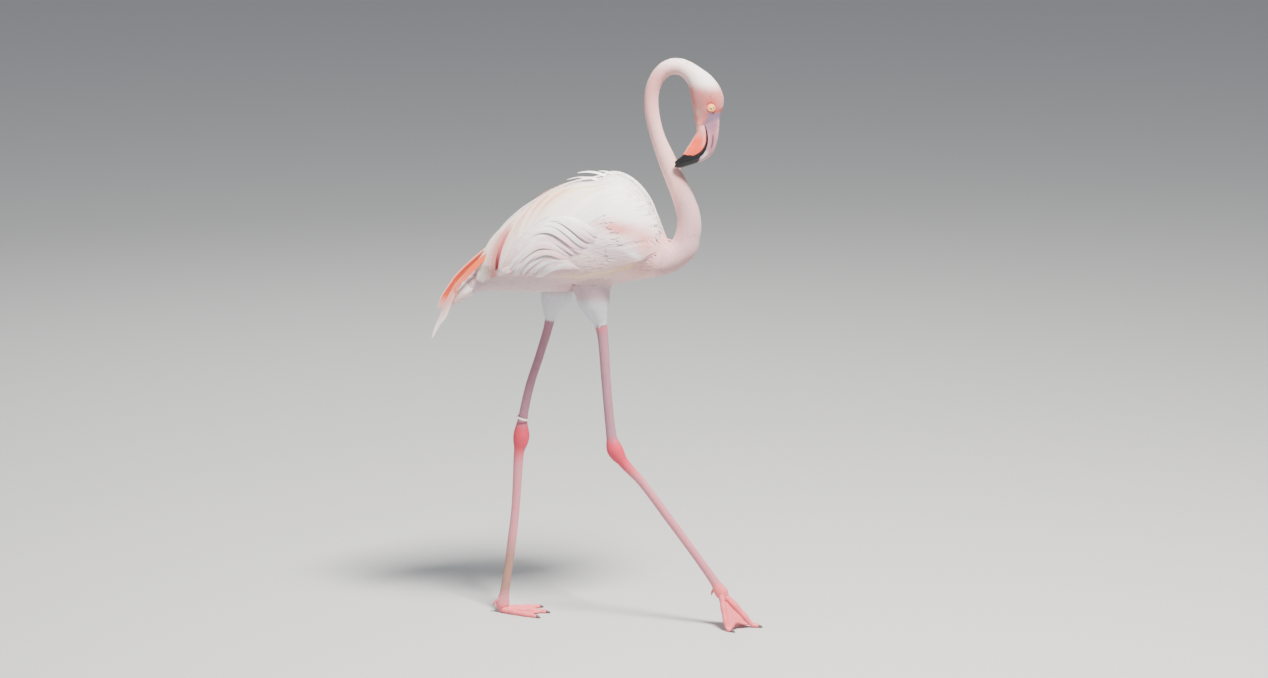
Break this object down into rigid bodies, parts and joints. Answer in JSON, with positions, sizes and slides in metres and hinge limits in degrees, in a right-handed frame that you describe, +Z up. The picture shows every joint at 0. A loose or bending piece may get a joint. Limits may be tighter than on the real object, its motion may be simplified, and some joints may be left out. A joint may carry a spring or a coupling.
{
  "type": "greater flamingo, standing",
  "caption": "Life-size adult greater flamingo in mid-stride, pale pink and white, neck in a high S-curve with the bent bill pointing down, webbed feet, a ring on one leg.",
  "frame": {"origin": "on the floor, under the centre of the bounding box", "axes": "+X the way the bird faces, +Y to its left, +Z up"},
  "size_m": [0.6008, 0.194, 1.0362],
  "materials": {
    "feather_white": "soft matte feathers, white with a blush of pink",
    "feather_pink": "soft matte feathers, pale pink",
    "feather_coral": "soft matte feathers, coral with pale edges",
    "leg_skin": "scaled skin, dusty pink, low sheen",
    "joint_skin": "scaled skin, coral red, low sheen",
    "foot_skin": "scaled skin, salmon pink, low sheen",
    "bill_pale": "smooth horn, pale pinkish grey with a black tip",
    "bill_coral": "smooth horn, salmon with a black tip",
    "claw": "dull dark horn",
    "eye": "wet, glossy, pale yellow with a black pupil",
    "band": "smooth white plastic"
  },
  "bodies": {
    "root": {"ankle_left": "joint_skin", "ankle_right": "joint_skin", "bill_lower": "bill_coral", "bill_upper": "bill_pale", "claw_left_inner": "claw", "claw_left_middle": "claw", "claw_left_outer": "claw", "claw_right_inner": "claw", "claw_right_middle": "claw", "claw_right_outer": "claw", "eye_left": "eye", "eye_right": "eye", "foot_left": "foot_skin", "foot_right": "foot_skin", "hallux_left": "foot_skin", "hallux_right": "foot_skin", "head": "feather_pink", "leg_band": "band", "neck_1": "feather_pink", "neck_2": "feather_pink", "neck_3": "feather_pink", "neck_4": "feather_pink", "neck_5": "feather_pink", "neck_6": "feather_pink", "neck_7": "feather_pink", "neck_8": "feather_pink", "tail": "feather_pink", "tarsus_left": "leg_skin", "tarsus_right": "leg_skin", "thigh_left": "feather_white", "thigh_right": "feather_white", "tibia_left": "leg_skin", "tibia_right": "leg_skin", "trunk": "feather_white", "wing_left_coverts": "feather_white", "wing_left_long_feathers": "feather_white", "wing_left_tip": "feather_coral", "wing_right_coverts": "feather_white", "wing_right_long_feathers": "feather_white", "wing_right_tip": "feather_coral"}
  },
  "joints": []
}
